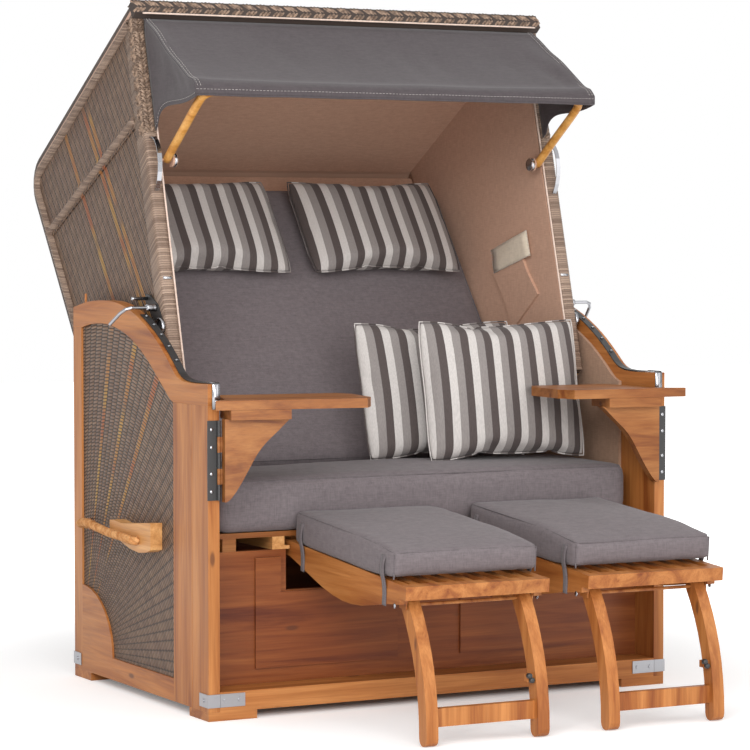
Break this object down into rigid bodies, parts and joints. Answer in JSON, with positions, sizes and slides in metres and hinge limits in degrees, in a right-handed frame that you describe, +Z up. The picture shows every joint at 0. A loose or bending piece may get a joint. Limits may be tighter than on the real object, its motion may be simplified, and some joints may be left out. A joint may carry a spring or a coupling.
{
  "type": "hooded beach chair",
  "caption": "Two-seat hooded beach chair: woven tilting hood with an awning over a wooden base with cushions, swing-out side tables and pull-out footrests.",
  "frame": {"origin": "on the floor, at the centre of the whole box in X and Y, with the footrests pulled out", "axes": "+Z up, the sitter looks along -Y, +X is on the right as seen from the front"},
  "size_m": [1.3286, 1.7216, 1.6627],
  "materials": {
    "teak": "oiled, clear sheen",
    "pale_wood": "oiled",
    "weave": "flat plaited strands with lighter ribs",
    "beige_lining": "taut cloth",
    "grey_cloth": "woven outdoor cloth",
    "striped_cloth": "woven cloth with upright stripes",
    "awning_cloth": "coated cloth with pale stitching",
    "rope": "twisted in three strands",
    "black_steel": "powder coated",
    "polished_steel": "polished"
  },
  "bodies": {
    "base": {"back_panel": "teak", "back_sill": "teak", "front_sill": "teak", "front_throw_pillow": "striped_cloth", "front_wall": "teak", "left_arch_board": "teak", "left_back_post": "teak", "left_bottom_rail": "teak", "left_footrest_runners": "pale_wood", "left_front_post": "teak", "left_handle_grip": "pale_wood", "left_handle_rope": "rope", "left_hinge_leaf": "black_steel", "left_rack_strip": "black_steel", "left_side_lining": "beige_lining", "left_woven_panel": "weave", "rear_throw_pillow": "striped_cloth", "right_arch_board": "teak", "right_back_post": "teak", "right_bottom_rail": "teak", "right_footrest_runners": "pale_wood", "right_front_post": "teak", "right_handle_grip": "pale_wood", "right_handle_rope": "rope", "right_hinge_leaf": "black_steel", "right_rack_strip": "black_steel", "right_side_lining": "beige_lining", "right_woven_panel": "weave", "seat_board": "teak", "seat_cushion": "grey_cloth"},
    "hood": {"hood_left_side": "weave", "hood_right_side": "weave", "hood_roof": "weave", "hood_back": "weave", "backrest_board": "beige_lining", "hood_lining": "beige_lining", "hood_front_braid": "weave", "left_pivot_arm": "black_steel", "right_pivot_arm": "black_steel", "left_lock_plate": "black_steel", "right_lock_plate": "black_steel", "back_cushion": "grey_cloth", "left_headrest": "striped_cloth", "right_headrest": "striped_cloth", "awning_canopy": "awning_cloth"},
    "awning": {"awning_bow": "pale_wood"},
    "left_lock_lever": {"left_lock_lever": "polished_steel"},
    "left_table": {"left_table_top": "teak", "left_table_bracket": "teak"},
    "left_footrest_slider": {"left_footrest_slider": "pale_wood"},
    "left_footrest_frame": {"left_footrest_frame": "teak", "left_footrest_pad": "grey_cloth"},
    "left_footrest_legs": {"left_footrest_legs": "teak"},
    "right_lock_lever": {"right_lock_lever": "polished_steel"},
    "right_table": {"right_table_top": "teak", "right_table_bracket": "teak"},
    "right_footrest_slider": {"right_footrest_slider": "pale_wood"},
    "right_footrest_frame": {"right_footrest_frame": "teak", "right_footrest_pad": "grey_cloth"},
    "right_footrest_legs": {"right_footrest_legs": "teak"}
  },
  "joints": [
    {"name": "hood_tilt", "type": "hinge", "parent": "base", "child": "hood", "pos_m": [0, 0.21471, 0.44], "axis": [1, 0, 0], "range_deg": [0, 22]},
    {"name": "awning_swing", "type": "hinge", "parent": "hood", "child": "awning", "pos_m": [0, 0.10961, 1.27424], "axis": [1, 0, 0], "range_deg": [-60, 0], "deforming": ["awning_canopy"]},
    {"name": "left_lock_turn", "type": "hinge", "parent": "hood", "child": "left_lock_lever", "pos_m": [-0.585, 0.05521, 0.92456], "axis": [1, 0, 0], "range_deg": [0, 70]},
    {"name": "left_table_swing", "type": "hinge", "parent": "base", "child": "left_table", "pos_m": [-0.586, -0.34189, 0.59], "axis": [0, 0, 1], "range_deg": [-81, 14]},
    {"name": "left_footrest_slide", "type": "slide", "parent": "base", "child": "left_footrest_slider", "axis": [0, 1, 0], "range_m": [0, 0.48], "deforming": ["left_footrest_pad"]},
    {"name": "left_footrest_tilt", "type": "hinge", "parent": "left_footrest_slider", "child": "left_footrest_frame", "pos_m": [-0.185, -0.22029, 0.384], "axis": [1, 0, 0], "range_deg": [-4.8, 0]},
    {"name": "left_legs_fold", "type": "hinge", "parent": "left_footrest_frame", "child": "left_footrest_legs", "pos_m": [-0.185, -0.76185, 0.29638], "axis": [1, 0, 0], "range_deg": [0, 106]},
    {"name": "right_lock_turn", "type": "hinge", "parent": "hood", "child": "right_lock_lever", "pos_m": [0.585, 0.05521, 0.92456], "axis": [1, 0, 0], "range_deg": [0, 70]},
    {"name": "right_table_swing", "type": "hinge", "parent": "base", "child": "right_table", "pos_m": [0.586, -0.34189, 0.59], "axis": [0, 0, 1], "range_deg": [0, 85]},
    {"name": "right_footrest_slide", "type": "slide", "parent": "base", "child": "right_footrest_slider", "axis": [0, 1, 0], "range_m": [0, 0.48], "deforming": ["right_footrest_pad"]},
    {"name": "right_footrest_tilt", "type": "hinge", "parent": "right_footrest_slider", "child": "right_footrest_frame", "pos_m": [0.275, -0.22029, 0.384], "axis": [1, 0, 0], "range_deg": [-4.8, 0]},
    {"name": "right_legs_fold", "type": "hinge", "parent": "right_footrest_frame", "child": "right_footrest_legs", "pos_m": [0.275, -0.76185, 0.29638], "axis": [1, 0, 0], "range_deg": [0, 106]}
  ],
  "couplings": [
    {"joint": "left_footrest_tilt", "follows": "left_footrest_slide", "rad_per_m": -0.1745},
    {"joint": "right_footrest_tilt", "follows": "right_footrest_slide", "rad_per_m": -0.1745}
  ]
}
